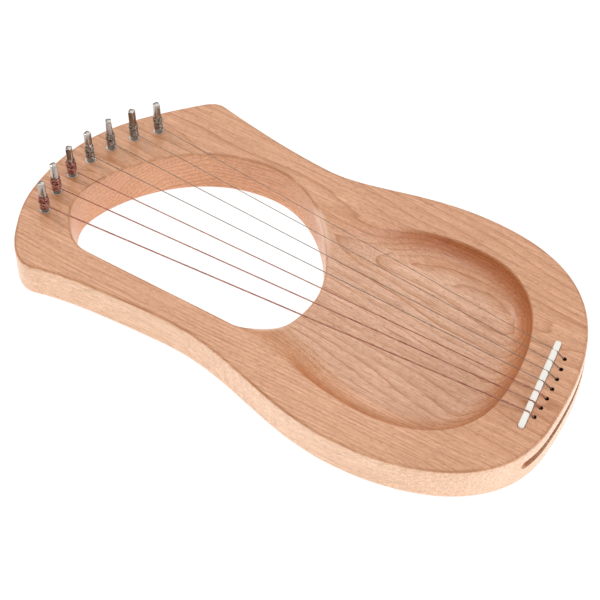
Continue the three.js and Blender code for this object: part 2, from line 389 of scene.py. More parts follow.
def tube_mesh(path, radius, sides, first_vertex, taper=None):
    """Vertices, faces and distance along for a closed round tube, thicker by the taper at its start."""
    path = [Vector(p) for p in path]
    tangents = []
    for index in range(len(path)):
        before = path[max(index - 1, 0)]
        after = path[min(index + 1, len(path) - 1)]
        tangents.append((after - before).normalized())
    side_way = tangents[0].orthogonal().normalized()
    vertices = []
    along = []
    travelled = 0.0
    for index, (point, tangent) in enumerate(zip(path, tangents)):
        if index:
            travelled += (point - path[index - 1]).length
        side_way = (side_way - tangent * side_way.dot(tangent)).normalized()
        other = tangent.cross(side_way)
        extra, length = taper or (0, 1)
        reach = radius + extra * max(0, 1 - travelled / length)
        for side in range(sides):
            angle = 2 * math.pi * side / sides
            vertices.append(point + reach * (math.cos(angle) * side_way + math.sin(angle) * other))
            along.append(travelled * MM)
    faces = []
    for ring in range(len(path) - 1):
        low = first_vertex + ring * sides
        for side in range(sides):
            after = (side + 1) % sides
            faces.append((low + side, low + after, low + sides + after, low + sides + side))
    last = first_vertex + (len(path) - 1) * sides
    faces.append([first_vertex + side for side in reversed(range(sides))])
    faces.append([last + side for side in range(sides)])
    return vertices, faces, along


def tubes(name, runs):
    """One object holding a closed tube for each (path, radius, sides, taper)."""
    vertices = []
    faces = []
    along = []
    for path, radius, sides, taper in runs:
        more, more_faces, more_along = tube_mesh(path, radius, sides, len(vertices), taper)
        vertices += more
        faces += more_faces
        along += more_along
    obj = new_object(name, vertices, faces, along)
    shade(obj, 60)
    return obj


# ---------------------------------------------------------------- body


def bowl_profile(inset, x):
    """Depth of the bowl at a distance inside its rim: an elliptical wall, gentler towards the opening."""
    floor = BOWL_DEPTH - (BOWL_HINGE - x) * BOWL_SLOPE
    gentle = smoothstep((BOWL_GENTLE[1] - x) / (BOWL_GENTLE[1] - BOWL_GENTLE[0]))
    share = np.clip(inset / (BOWL_WALL + BOWL_WIDENING * gentle), 0, 1)
    steep = np.sqrt(1 - (1 - share) ** 2)
    return floor * (steep + (smoothstep(share) ** 0.75 - steep) * gentle)


def bowl_drop(points, bowl):
    """How far the surface lies below the soundboard, its rim slightly eased."""
    distance, _ = nearest_on_loop(points, bowl)
    inset = np.where(is_inside(points, bowl), distance, -distance)
    offsets = np.linspace(-1, 1, 9)
    weights = np.cos(offsets * math.pi / 2.4) ** 2
    total = sum(w * bowl_profile(inset + o * BOWL_RIM, points[:, 0]) for o, w in zip(offsets, weights))
    return total / weights.sum()


def scatter(outer, keep_from, spacing):
    """A staggered grid inside the outer loop that keeps clear of the given loops."""
    low = outer.min(axis=0)
    high = outer.max(axis=0)
    rows = np.arange(low[1], high[1], spacing * 0.87)
    grid = []
    for number, y in enumerate(rows):
        start = low[0] + (number % 2) * spacing / 2
        xs = np.arange(start, high[0], spacing)
        grid.append(np.column_stack([xs, np.full(len(xs), y)]))
    points = np.concatenate(grid)
    points = points[is_inside(points, outer)]
    for loop, gap in keep_from:
        distance, _ = nearest_on_loop(points, loop)
        points = points[distance > gap]
    return points


def split_runs(flags):
    """Pairs of neighbours on a closed loop that are both kept."""
    count = len(flags)
    return [(i, (i + 1) % count) for i in range(count) if flags[i] and flags[(i + 1) % count]]


def triangulate(loops, partial_loops, points, outer, inner):
    """Triangles over the region between two loops. Returns points, faces and each loop's vertex numbers."""
    coordinates = []
    edges = []
    for loop in loops:
        start = len(coordinates)
        coordinates += [tuple(p) for p in loop]
        edges += [(start + i, start + (i + 1) % len(loop)) for i in range(len(loop))]
    for loop, kept in partial_loops:
        start = len(coordinates)
        numbers = np.cumsum(kept) - 1
        coordinates += [tuple(p) for p in loop[kept]]
        edges += [(start + int(numbers[a]), start + int(numbers[b])) for a, b in split_runs(kept)]
    coordinates += [tuple(p) for p in points]
    made = geometry.delaunay_2d_cdt([Vector(p) for p in coordinates], edges, [], 0, 1e-5, True)
    vertices = np.array([tuple(p) for p in made[0]])
    faces = np.array(made[2])
    place_of = {}
    for number, origins in enumerate(made[3]):
        for origin in origins:
            place_of[origin] = number
    middles = vertices[faces].mean(axis=1)
    kept = is_inside(middles, outer) & ~is_inside(middles, inner)
    loop_numbers = []
    start = 0
    for loop in loops:
        loop_numbers.append([place_of[start + i] for i in range(len(loop))])
        start += len(loop)
    return vertices, faces[kept], loop_numbers


def opening_shift(normal, depth):
    """How far the opening's wall has moved in plan at a depth below the soundboard."""
    return depth[:, None] * (OPENING_LEAN - math.tan(OPENING_DRAFT) * normal)


class Shell:
    """Collects the vertices and faces of one closed mesh."""

    def __init__(self):
        self.vertices = []
        self.faces = []

    def add_sheet(self, points, heights, faces):
        start = len(self.vertices)
        self.vertices += [(x, y, z) for (x, y), z in zip(points, heights)]
        self.faces += [tuple(int(start + i) for i in face) for face in faces]
        return start

    def add_ring(self, points, heights):
        start = len(self.vertices)
        self.vertices += [(x, y, z) for (x, y), z in zip(points, heights)]
        return list(range(start, start + len(points)))

    def bridge(self, one, other):
        count = len(one)
        for i in range(count):
            j = (i + 1) % count
            self.faces.append((one[i], one[j], other[j], other[i]))


def quarter(steps):
    """Sine and cosine pairs of a quarter turn, ends left out."""
    angles = [math.pi / 2 * step / steps for step in range(1, steps)]
    return [(1 - math.sin(a), 1 - math.cos(a)) for a in angles]


def outer_wall(shell, outer, outer_normal, ring):
    """Rounded edges and wall from the top's outer loop down; returns the ring at its foot."""
    for inset, fall in quarter(7):
        following = outer - outer_normal * EDGE_RADIUS * inset
        made = shell.add_ring(following, np.full(len(outer), THICKNESS - EDGE_RADIUS * fall))
        shell.bridge(ring, made)
        ring = made
    for height in np.linspace(THICKNESS - EDGE_RADIUS, EDGE_RADIUS, 7):
        made = shell.add_ring(outer, np.full(len(outer), height))
        shell.bridge(ring, made)
        ring = made
    for inset, fall in reversed(quarter(6)):
        following = outer - outer_normal * EDGE_RADIUS * inset
        made = shell.add_ring(following, np.full(len(outer), EDGE_RADIUS * fall))
        shell.bridge(ring, made)
        ring = made
    return ring


def opening_wall(shell, opening, opening_normal, rounding, rim_height, ring):
    """The same round the hand opening, whose rim follows the bowl's height."""
    for inset, fall in quarter(7):
        height = rim_height - rounding * fall
        plan = opening + opening_shift(opening_normal, THICKNESS - height)
        plan = plan + opening_normal * (rounding * inset)[:, None]
        made = shell.add_ring(plan, height)
        shell.bridge(ring, made)
        ring = made
    for share in np.linspace(0, 1, 6):
        height = (rim_height - rounding) * (1 - share) + OPENING_FOOT * share
        plan = opening + opening_shift(opening_normal, THICKNESS - height)
        made = shell.add_ring(plan, height)
        shell.bridge(ring, made)
        ring = made
    for inset, fall in reversed(quarter(6)):
        height = np.full(len(opening), OPENING_FOOT * fall)
        plan = opening + opening_shift(opening_normal, THICKNESS - height)
        plan = plan + opening_normal * OPENING_FOOT * inset
        made = shell.add_ring(plan, height)
        shell.bridge(ring, made)
        ring = made
    return ring


def underside(shell, outer, outer_normal, opening, opening_normal, outer_foot, opening_foot):
    """The flat underside between the two walls."""
    foot = outer - outer_normal * EDGE_RADIUS
    hole = opening + opening_shift(opening_normal, np.full(len(opening), THICKNESS))
    hole = hole + opening_normal * OPENING_FOOT
    inner_foot = foot - outer_normal * 0.5
    outer_hole = hole + opening_normal * 0.5
    free = scatter(foot, [(foot, 3), (hole, 3)], 8)
    free = free[~is_inside(free, hole)]
    points, faces, numbers = triangulate([foot, hole, inner_foot, outer_hole], [], free, foot, hole)
    start = shell.add_sheet(points, np.zeros(len(points)), faces)
    shell.bridge(outer_foot, [start + i for i in numbers[0]])
    shell.bridge(opening_foot, [start + i for i in numbers[1]])


def body_shell():
    outer = smooth_loop(BODY_OUTLINE, 1.6)
    opening = smooth_loop(OPENING_OUTLINE, 1.0)
    bowl = smooth_loop(BOWL_OUTLINE, 1.6)
    outer_normal = outward(outer)
    opening_normal = outward(opening)
    bowl_normal = outward(bowl)

    rim_drop = bowl_drop(opening, bowl)
    on_ridge = smoothstep(rim_drop / 7)
    rounding = OPENING_RIM + (OPENING_RIDGE - OPENING_RIM) * on_ridge
    edge = outer - outer_normal * EDGE_RADIUS
    rim = opening + opening_normal * rounding[:, None]
    supports = [outer - outer_normal * (EDGE_RADIUS + 0.5)]
    supports += [opening + opening_normal * (rounding + more)[:, None] for more in (0.4, 1.0, 1.8)]
    insets = (-1.6, -0.9, -0.6, -0.35, -0.15, 0, 0.15, 0.35, 0.6, 0.9, 1.4, 2.1, 3)
    insets += (4.2, 5.8, 7.8, 10, 12.5, 15.5, 18.5, 21, 23.5)
    partial = []
    for inset in insets:
        loop = bowl - bowl_normal * inset
        distance, _ = nearest_on_loop(loop, rim)
        kept = (distance > 2.3) & ~is_inside(loop, rim)
        partial.append((loop, kept))
    bowl_floor = bowl - bowl_normal * 23.5
    clear = [(edge, 2.2), (rim, 3.2)]
    free = scatter(edge, clear, 3.2)
    free = free[~is_inside(free, rim)]
    in_wall = is_inside(free, bowl + bowl_normal * 3.2) & ~is_inside(free, bowl_floor)
    free = free[~in_wall]
    distance, _ = nearest_on_loop(free, bowl_floor)
    free = free[distance > 1.4]
    loops = [edge, rim, *supports]
    points, faces, numbers = triangulate(loops, partial, free, edge, rim)

    drop = bowl_drop(points, bowl)
    distance, nearest = nearest_on_loop(points, opening)
    fade = 1 - smoothstep((distance - 5) / 14)
    points = points + opening_shift(opening_normal[nearest], drop * fade)
    shell = Shell()
    shell.add_sheet(points, THICKNESS - drop, faces)

    outer_foot = outer_wall(shell, outer, outer_normal, numbers[0])
    rim_height = THICKNESS - drop[numbers[1]]
    opening_foot = opening_wall(shell, opening, opening_normal, rounding, rim_height, numbers[1])
    underside(shell, outer, outer_normal, opening, opening_normal, outer_foot, opening_foot)
    return shell


def kerf_cutter():
    middle = (KERF_FLOOR + KERF_ROOF) / 2
    half = (KERF_ROOF - KERF_FLOOR) / 2
    profile = [(0, KERF_FLOOR)]
    for step in range(-6, 7):
        angle = math.pi / 2 * step / 6
        reach = KERF_RADIUS - KERF_RIM * (1 - math.cos(angle))
        profile.append((reach, middle + half * math.sin(angle)))
    profile.append((0, KERF_ROOF))
    blade = lathe("kerf_cutter", profile, 256)
    return place(blade, Matrix.Translation((KERF_CENTRE[0], KERF_CENTRE[1], 0)))


def stadium(length, width, steps):
    straight = (length - width) / 2
    angles = np.linspace(0, math.pi, steps)
    top = np.column_stack([np.cos(angles), np.sin(angles)]) * width / 2 + (0, straight)
    return evenly_spaced(np.vstack([top, -top]), 0.5)


def bridge_matrix(height):
    return Matrix.Translation((*BRIDGE_CENTRE, height)) @ Matrix.Rotation(BRIDGE_TILT, 4, "Z")


def small_cutters():
    """Cutters of the bridge seat, the pin holes and the string holes."""
    outline = stadium(BRIDGE_LENGTH + 2 * CLEARANCE, BRIDGE_WIDTH + 2 * CLEARANCE, 16)
    seat = stack("seat_cutter", outline, [(0, 0), (0, BRIDGE_SEAT + 1)])
    made = [place(seat, bridge_matrix(THICKNESS - BRIDGE_SEAT))]
    pin_hole = PIN_RADIUS + CLEARANCE / 4
    for index in range(len(STRING_DIAMETERS)):
        profile = [(0, -PIN_BELOW - CLEARANCE), (pin_hole, -PIN_BELOW - CLEARANCE)]
        profile += [(pin_hole, -0.35), (pin_hole + 3.3, 1), (0, 1)]
        made.append(place(lathe(f"pin_cutter_{index}", profile, 40), pin_matrix(index)))
        depth = THICKNESS - (KERF_FLOOR + KERF_ROOF) / 2
        profile = [(0, -depth), (HOLE_RADIUS, -depth)]
        profile += [(HOLE_RADIUS, -0.15), (HOLE_RADIUS + 1.15, 1), (0, 1)]
        drill = lathe(f"hole_cutter_{index}", profile, 28)
        made.append(place(drill, Matrix.Translation(string_hole(index))))
    return made


def joined(name, objects):
    """One object from several, their meshes side by side."""
    vertices = []
    faces = []
    for obj in objects:
        start = len(vertices)
        vertices += [v.co / MM for v in obj.data.vertices]
        faces += [[start + i for i in p.vertices] for p in obj.data.polygons]
        bpy.data.objects.remove(obj)
    return new_object(name, vertices, faces)


def mark(mesh, name, value, domain="POINT"):
    layer = mesh.attributes.new(name, "FLOAT", domain)
    layer.data.foreach_set("value", np.clip(value, 0, 1))


def mark_cuts(mesh):
    """Marks painted shade on the faces of the string holes and the sawn kerf, and a painted highlight on
    the pins' countersinks.
    """
    flat = np.empty(len(mesh.polygons) * 3)
    mesh.polygons.foreach_get("center", flat)
    middles = flat.reshape(-1, 3) / MM
    plan = middles[:, :2]
    height = middles[:, 2]
    from_blade = np.linalg.norm(plan - KERF_CENTRE, axis=1)
    from_edge, _ = nearest_on_loop(plan, smooth_loop(BODY_OUTLINE, 1.6))
    in_kerf = (from_blade < KERF_RADIUS + 0.02) & (height > KERF_FLOOR - 0.01) & (height < KERF_ROOF + 0.01)
    # Painted shade: the kerf's sawn faces are darkened a little and the string holes painted almost black.
    dark = (in_kerf & (from_edge > 0.15)) * 0.12
    painted_countersink_highlight = np.zeros(len(plan))
    for index in range(len(STRING_DIAMETERS)):
        gap = np.linalg.norm(plan - tuple(string_hole(index).xy), axis=1)
        dark = np.maximum(dark, (gap < HOLE_RADIUS + 0.05) & (height < THICKNESS - 0.1))
        # Painted highlight: a near-white ring on the shallow countersink round each pin.
        gap = np.linalg.norm(plan - tuple(pin_base(index).xy), axis=1)
        ring = (gap < PIN_RADIUS + 1) & (height < THICKNESS - 0.03) & (height > THICKNESS - 0.32)
        painted_countersink_highlight = np.maximum(painted_countersink_highlight, ring)
    mark(mesh, "painted_recess_shade", dark, "FACE")
    mark(mesh, "painted_countersink_highlight", painted_countersink_highlight, "FACE")


def mark_edges_and_painted_light(obj):
    """Marks from 0 to 1 the routed upper edges, and the painted light: a highlight on the ridge's crest,
    sheen on the bowl's floor, lighter outer sides and shade on the bowl's wall.
    """
    mesh = obj.data
    flat = np.empty(len(mesh.vertices) * 3)
    mesh.vertices.foreach_get("co", flat)
    points = flat.reshape(-1, 3) / MM
    plan = points[:, :2]
    below = THICKNESS - points[:, 2]
    from_edge, _ = nearest_on_loop(plan, smooth_loop(BODY_OUTLINE, 2))
    opening = smooth_loop(OPENING_OUTLINE, 2)
    from_opening, nearest = nearest_on_loop(plan, opening)
    upper = smoothstep(1 - np.abs(below - 0.45) / 0.75)
    outer = smoothstep((EDGE_RADIUS + 0.4 - from_edge) / 0.8)
    rim = smoothstep((OPENING_RIM + 0.4 - from_opening) / 0.8)
    mark(mesh, "edge", upper * np.maximum(outer, rim))
    bowl = smooth_loop(BOWL_OUTLINE, 2)
    low_rim = smoothstep(bowl_drop(opening, bowl)[nearest] / 3)
    # Painted highlight: a pale band on the rounded crest where the opening's rim lies below the soundboard.
    ridge_highlight_mask = smoothstep(1.3 - from_opening / 3) * smoothstep(below / 2.5) * smoothstep((10.5 - below) / 4)
    mark(mesh, "painted_ridge_highlight", ridge_highlight_mask * low_rim)
    distance, _ = nearest_on_loop(plan, bowl)
    hollow = is_inside(plan, bowl) * smoothstep(below / 3)
    # Painted sheen: the bowl's floor, away from its wall, is marked to be painted paler and pinker.
    mark(mesh, "painted_floor_sheen", hollow * smoothstep((distance - 10) / 14))
    # Painted shade: the bowl's wall near its rim is marked to be darkened, less so towards the opening.
    wall = smoothstep(1 - distance / 15) * hollow
    # Painted light: the outer sides below the top edge are marked to be painted paler, for the floor light
    # and sheen they catch.
    painted_side_light = smoothstep((1.2 - from_edge) / 1.2) * smoothstep((below - 0.6) / 1.6)
    mark(mesh, "painted_side_light", painted_side_light)
    mark(mesh, "painted_wall_shade", wall * smoothstep(from_opening / 30 - 0.3))


def make_body():
    shell = body_shell()
    body = new_object("lyre_body", shell.vertices, shell.faces)
    face_outwards(body)
    small = joined("small_cutters", small_cutters())
    kerf = kerf_cutter()
    for cutter in (small, kerf):
        face_outwards(cutter)
    cut(body, [kerf, small])
    body.data.name = "lyre_body"
    shade(body, 32)
    mark_edges_and_painted_light(body)
    mark_cuts(body.data)
    return body


# ---------------------------------------------------------------- bridge


def make_bridge():
    height = BRIDGE_SEAT - CLEARANCE + BRIDGE_PROUD
    crown = 1.1
    levels = [(0.25, 0), (0.08, 0.08), (0, 0.25)]
    rounding = [(0, 1), *reversed(quarter(7)), (1, 0)]
    levels += [(crown * inset, height - crown * fall) for inset, fall in rounding]
    levels.append((crown + 0.5, height + 0.02))
    bar = stack("bridge_bar", stadium(BRIDGE_LENGTH, BRIDGE_WIDTH, 24), levels)
    place(bar, bridge_matrix(THICKNESS - BRIDGE_SEAT + CLEARANCE))
    face_outwards(bar)
    cutters = []
    for index, diameter in enumerate(STRING_DIAMETERS):
        crossing = bridge_crossing(index)
        run = crossing - pin_tangent(index)
        radius = (diameter + CLEARANCE) / 2
        reach = 3 * BRIDGE_WIDTH
        groove = [(0, -reach), (radius, -reach), (radius, reach), (0, reach)]
        cutter = lathe(f"groove_{index}", groove, 20)
        turn = Matrix.Rotation(math.atan2(run.y, run.x) / 2, 4, "Z") @ Matrix.Rotation(math.pi / 2, 4, "Y")
        place(cutter, Matrix.Translation(crossing + Vector((0, 0, radius))) @ turn)
        face_outwards(cutter)
        cutters.append(cutter)
    cut(bar, cutters)
    shade(bar, 40)
    return bar


# ---------------------------------------------------------------- tuning pins


def flat_cutter(quarter_turn):
    """The milled flat's waste: straight above, curving out to a scooped shoulder below."""
    high = PIN_ABOVE + 1
    scoop = 1.3
    shape = [(HEAD_FLAT_HIGH, high), (HEAD_FLAT_LOW, HEAD_FROM + scoop)]
    for step in range(1, 7):
        angle = math.pi / 2 * step / 6
        out = HEAD_FLAT_LOW + scoop * (1 - math.cos(angle))
        shape.append((out, HEAD_FROM + scoop * (1 - math.sin(angle))))
    shape += [(2 * PIN_RADIUS, HEAD_FROM), (2 * PIN_RADIUS, high)]
    count = len(shape)
    vertices = [(u, side * 2 * PIN_RADIUS, z) for side in (-1, 1) for u, z in shape]
    faces = [(i, (i + 1) % count, count + (i + 1) % count, count + i) for i in range(count)]
    faces += [range(count - 1, -1, -1), range(count, 2 * count)]
    cutter = new_object(f"flat_cutter_{quarter_turn}", vertices, faces)
    cutter.data.transform(Matrix.Rotation(quarter_turn * math.pi / 2, 4, "Z"))
    face_outwards(cutter)
    return cutter


def pin_profile():
    """Foot, fine threads in the wood, a plain shaft and a slightly domed end."""
    profile = [(0, -PIN_BELOW), (1.5, -PIN_BELOW), (1.9, -PIN_BELOW + 0.3)]
    profile += [(PIN_RADIUS - 0.2, -PIN_BELOW + 2)]
    height = -PIN_BELOW + 2.4
    while height < -1.6:
        profile += [(PIN_RADIUS, height), (PIN_RADIUS - 0.22, height + 0.3)]
        height += 0.6
    profile += [(PIN_RADIUS, -1), (PIN_RADIUS, PIN_ABOVE - 0.55)]
    for step in range(1, 5):
        angle = math.pi / 2 * step / 4
        radius = PIN_RADIUS - 0.55 * (1 - math.cos(angle))
        profile.append((radius, PIN_ABOVE - 0.55 * (1 - math.sin(angle))))
    profile += [(1.0, PIN_ABOVE + 0.06), (0, PIN_ABOVE + 0.09)]
    return profile


def pin_mesh():
    """The pin on its own axis, its flats milled and its eye drilled."""
    shaft = lathe("pin_shaft", pin_profile(), 64)
    face_outwards(shaft)
    half = 2 * PIN_RADIUS
    eye = lathe("eye_cutter", [(0, -half), (EYE_RADIUS, -half), (EYE_RADIUS, half), (0, half)], 24)
    place(eye, Matrix.Translation((0, 0, EYE_HEIGHT)) @ Matrix.Rotation(math.pi / 2, 4, "X"))
    face_outwards(eye)
    cut(shaft, [flat_cutter(0), flat_cutter(1), flat_cutter(2), flat_cutter(3), eye])
    bevel = shaft.modifiers.new("bevel", "BEVEL")
    bevel.width = 0.13 * MM
    bevel.segments = 2
    bevel.limit_method = "ANGLE"
    bevel.angle_limit = math.radians(32)
    apply_modifiers(shaft)
    shade(shaft, 40)
    mesh = shaft.data.copy()
    bpy.data.objects.remove(shaft)
    return mesh


def make_pin(index, mesh):
    pin = bpy.data.objects.new(f"pin_{index + 1}_detailed", mesh.copy())
    bpy.context.scene.collection.objects.link(pin)
    return place(pin, pin_matrix(index))


def coil(start_angle, turns, heights, reaches):
    """Points clockwise round the pin, height and reach easing from the first value to the second."""
    steps = max(6, int(turns * 22))
    points = []
    for step in range(steps):
        share = step / steps
        angle = start_angle - 2 * math.pi * turns * share
        height = heights[0] + (heights[1] - heights[0]) * share
        reach = reaches[0] + (reaches[1] - reaches[0]) * min(1, share * turns * 4)
        points.append(Vector((reach * math.cos(angle), reach * math.sin(angle), height)))
    return points, start_angle - 2 * math.pi * turns


def winding_path(index):
    """Turns up to the head, a long crossing turn down, turns back up, then across them into the eye."""
    radius = turn_radius(index)
    turn = math.radians(PIN_TURNS[index])
    near = PIN_RADIUS + radius + 0.03
    over = near + 1.6 * radius
    low = STRING_HEIGHT - 0.8
    first = (WINDING_TOP - STRING_HEIGHT) / (2.15 * radius)
    second = (low - WINDING_FOOT) / (2.3 * radius)
    path, angle = coil(-math.pi / 2 - turn, first, (STRING_HEIGHT, WINDING_TOP), (arrival(index), near))
    more, angle = coil(angle, 1.2, (WINDING_TOP, WINDING_FOOT), (near, over))
    path += more
    more, angle = coil(angle, second, (WINDING_FOOT, low), (over, near))
    path += more
    goal = math.pi / 2 - 2 * math.pi * (1 + math.ceil((math.pi / 2 - angle) / (2 * math.pi)))
    more, angle = coil(angle, (angle - goal) / (2 * math.pi), (low, EYE_HEIGHT), (near, over))
    path += more
    path.append(Vector((0, PIN_RADIUS + radius, EYE_HEIGHT)))
    path.append(Vector((0, PIN_RADIUS * 0.7, EYE_HEIGHT)))
    path.append(Vector((0, -PIN_RADIUS * 0.9, EYE_HEIGHT)))
    path.append(Vector((0.2, -PIN_RADIUS - 0.9, EYE_HEIGHT + 0.3)))
    return path


def make_winding(index):
    radius = turn_radius(index)
    taper = (STRING_DIAMETERS[index] / 2 - radius, PIN_RADIUS * 2)
    winding = tubes(f"winding_{index + 1}_detailed", [(winding_path(index), radius, 9, taper)])
    return place(winding, pin_matrix(index))


# ---------------------------------------------------------------- strings


def string_route(index):
    """From the ball end up through the hole, over the bridge and on to the pin."""
    radius = STRING_DIAMETERS[index] / 2
    hole = string_hole(index)
    crown = bridge_crossing(index) + Vector((0, 0, CLEARANCE + radius))
    end = pin_tangent(index)
    towards = crown - hole
    towards.z = 0
    towards.normalize()
    lip = hole + towards * (HOLE_RADIUS - CLEARANCE - radius)
    bar_edge = BRIDGE_WIDTH / 2 + CLEARANCE
    along = (end - crown).normalized()
    before = crown - towards * bar_edge
    before.z = crown.z - 0.1
    foot = Vector((hole.x, hole.y, KERF_ROOF - 0.2))
    low = Vector((lip.x, lip.y, THICKNESS - 2))
    high = Vector((lip.x, lip.y, THICKNESS + radius / 2))
    return [foot, low, high, before, crown - towards * bar_edge / 2, crown + along * bar_edge, end]


def coil_round(path, reach, pitch, length):
    """A strand that spirals round the first part of a path."""
    path = [Vector(p) for p in path]
    strand = []
    travelled = 0.0
    for start, end in zip(path, path[1:]):
        run = end - start
        steps = max(1, int(run.length / (pitch / 8)))
        way = run.normalized()
        side = way.orthogonal().normalized() if not strand else (side - way * side.dot(way)).normalized()
        for step in range(steps):
            if travelled > length:
                return strand
            angle = 2 * math.pi * travelled / pitch
            offset = side * math.cos(angle) + way.cross(side) * math.sin(angle)
            strand.append(start + run * step / steps + offset * reach)
            travelled += run.length / steps
    return strand


def make_string(index):
    diameter = STRING_DIAMETERS[index]
    radius = diameter / 2
    path = rounded_path(string_route(index), 1.1)
    strand = 0.16 if index < WOUND_STRINGS else 0.14
    twist = coil_round(path, radius + strand * 0.6, diameter * 2.6, 17.5)
    ball = Vector((string_hole(index).x, string_hole(index).y, KERF_ROOF - CLEARANCE - BALL_RADIUS))
    loop = []
    for step in range(25):
        angle = math.pi / 2 + 2 * math.pi * step / 24 * 0.985
        loop.append(ball + Vector((1.42 * math.cos(angle), 0, 1.42 * math.sin(angle))))
    runs = [(path, radius, 12, None), (twist, strand, 6, None), (loop, 0.2, 8, None)]
    return tubes(f"string_{index + 1}_detailed", runs)


def make_ball_end(index):
    half = BALL_LENGTH / 2
    waist = 1.25
    profile = [(0.75, -half + 0.12), (0.87, -half), (BALL_RADIUS - 0.35, -half)]
    profile += [(BALL_RADIUS - 0.1, 0.1 - half), (BALL_RADIUS, 0.35 - half), (BALL_RADIUS, -0.75)]
    profile += [(BALL_RADIUS - 0.15, -0.55), (waist, -0.25)]
    profile += [(r, -z) for r, z in reversed(profile)]
    ball = lathe(f"ball_end_{index + 1}_detailed", profile, 32)
    hole = string_hole(index)
    centre = Vector((hole.x, hole.y, KERF_ROOF - CLEARANCE - BALL_RADIUS))
    place(ball, Matrix.Translation(centre) @ Matrix.Rotation(math.pi / 2, 4, "X"))
    face_outwards(ball)
    shade(ball, 40)
    return ball


# ---------------------------------------------------------------- materials


class Paint:
    """Builds one node material step by step."""

    def __init__(self, name):
        self.material = bpy.data.materials.new(name)
        self.material.use_nodes = True
        self.tree = self.material.node_tree
        self.shader = next(n for n in self.tree.nodes if n.type == "BSDF_PRINCIPLED")
        self.object = self.node("ShaderNodeTexCoord").outputs["Object"]

    def node(self, kind, **settings):
        made = self.tree.nodes.new(kind)
        for key, value in settings.items():
            setattr(made, key, value)
        return made

    def feed(self, socket, value):
        if isinstance(value, bpy.types.NodeSocket):
            self.tree.links.new(value, socket)
        else:
            socket.default_value = value

    def math(self, operation, *values, clamp=False):
        made = self.node("ShaderNodeMath", operation=operation, use_clamp=clamp)
        for socket, value in zip(made.inputs, values):
            self.feed(socket, value)
        return made.outputs[0]

    def vector(self, operation, one, other):
        made = self.node("ShaderNodeVectorMath", operation=operation)
        self.feed(made.inputs[0], one)
        self.feed(made.inputs[1], other)
        return made.outputs[0]

    def split(self, vector):
        made = self.node("ShaderNodeSeparateXYZ")
        self.feed(made.inputs[0], vector)
        return made.outputs

    def noise(self, vector, detail=2.0, roughness=0.5, distortion=0.0):
        made = self.node("ShaderNodeTexNoise")
        self.feed(made.inputs["Vector"], vector)
        made.inputs["Scale"].default_value = 1.0
        made.inputs["Detail"].default_value = detail
        made.inputs["Roughness"].default_value = roughness
        made.inputs["Distortion"].default_value = distortion
        return made.outputs["Fac"]

    def smooth(self, value, low, high, to_low=0.0, to_high=1.0):
        made = self.node("ShaderNodeMapRange", interpolation_type="SMOOTHSTEP")
        names = ("Value", "From Min", "From Max", "To Min", "To Max")
        for name, number in zip(names, (value, low, high, to_low, to_high)):
            self.feed(made.inputs[name], number)
        return made.outputs[0]

    def mix(self, factor, one, other, blend="MIX"):
        made = self.node("ShaderNodeMix", data_type="RGBA", blend_type=blend)
        self.feed(made.inputs["Factor"], factor)
        self.feed(made.inputs[6], one)
        self.feed(made.inputs[7], other)
        return made.outputs[2]

    def attribute(self, name):
        return self.node("ShaderNodeAttribute", attribute_name=name).outputs["Fac"]

    def bump(self, height, strength, distance):
        made = self.node("ShaderNodeBump")
        made.inputs["Strength"].default_value = strength
        made.inputs["Distance"].default_value = distance
        self.feed(made.inputs["Height"], height)
        self.feed(self.shader.inputs["Normal"], made.outputs["Normal"])

    def set(self, **values):
        for name, value in values.items():
            self.feed(self.shader.inputs[name.replace("_", " ").title()], value)


WOOD_EARLY = (0.765, 0.385, 0.207, 1)
WOOD_LATE = (0.56, 0.225, 0.088, 1)
WOOD_FLECK = (0.34, 0.115, 0.038, 1)
# Painted light: the paler tone of the outer sides.
WOOD_SIDE_LIGHT = (0.94, 0.62, 0.41, 1)
# Painted sheen: the paler tone of the bowl's floor.
WOOD_FLOOR_SHEEN = (0.87, 0.53, 0.36, 1)
WOOD_EDGE = (0.46, 0.19, 0.075, 1)
# Painted shade: the near-black tone of the holes and the kerf.
WOOD_RECESS_SHADE = (0.045, 0.02, 0.012, 1)
# Painted highlight: the near-white tone of the countersinks.
WOOD_COUNTERSINK_HIGHLIGHT = (1.0, 0.93, 0.84, 1)
# Painted highlight: the pale tone of the ridge's crest.
WOOD_RIDGE_HIGHLIGHT = (0.96, 0.64, 0.47, 1)
# Painted shade: the darker tone of the bowl's wall.
WOOD_WALL_SHADE = (0.76, 0.50, 0.30, 1)
STAVE_WIDTH = 52.0
STAVE_START = -107.0
RING_WIDTH = 2.5


